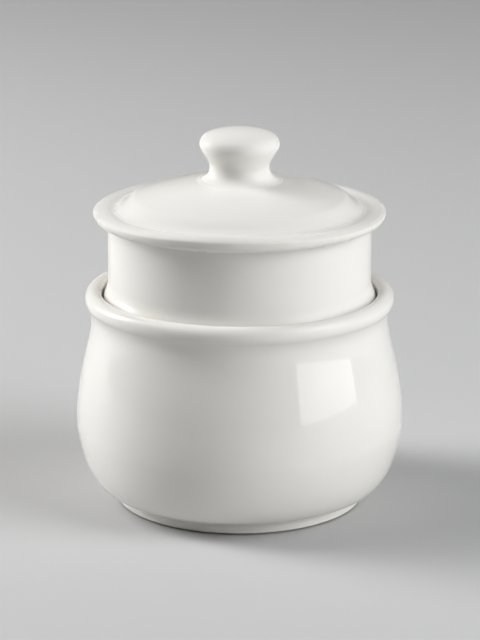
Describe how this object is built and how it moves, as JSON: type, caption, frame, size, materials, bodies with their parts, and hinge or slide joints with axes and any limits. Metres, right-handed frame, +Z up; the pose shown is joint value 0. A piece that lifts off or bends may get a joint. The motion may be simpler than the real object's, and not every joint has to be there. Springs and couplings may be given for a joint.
{
  "type": "butter crock",
  "caption": "White glazed stoneware butter crock: a round-bellied pot for water, and a domed, knobbed lid with an open bell that holds the butter.",
  "frame": {"origin": "centre of the foot ring, on the surface that the crock stands on", "axes": "+Z up along the axis of the pot and the lid; X and Y are alike, because every piece is turned about Z"},
  "size_m": [0.105, 0.105, 0.1212],
  "materials": {
    "pot_glaze": "glossy white stoneware glaze",
    "bell_glaze": "glossy white stoneware glaze",
    "cover_glaze": "glossy white stoneware glaze",
    "knob_glaze": "glossy white stoneware glaze"
  },
  "bodies": {
    "pot": {"crock_pot": "pot_glaze"},
    "lid": {"butter_bell": "bell_glaze", "lid_cover": "cover_glaze", "lid_knob": "knob_glaze"}
  },
  "joints": [
    {"name": "lid_lift", "type": "slide", "parent": "pot", "child": "lid", "axis": [0, 0, 1], "range_m": [0, 0.06]}
  ]
}
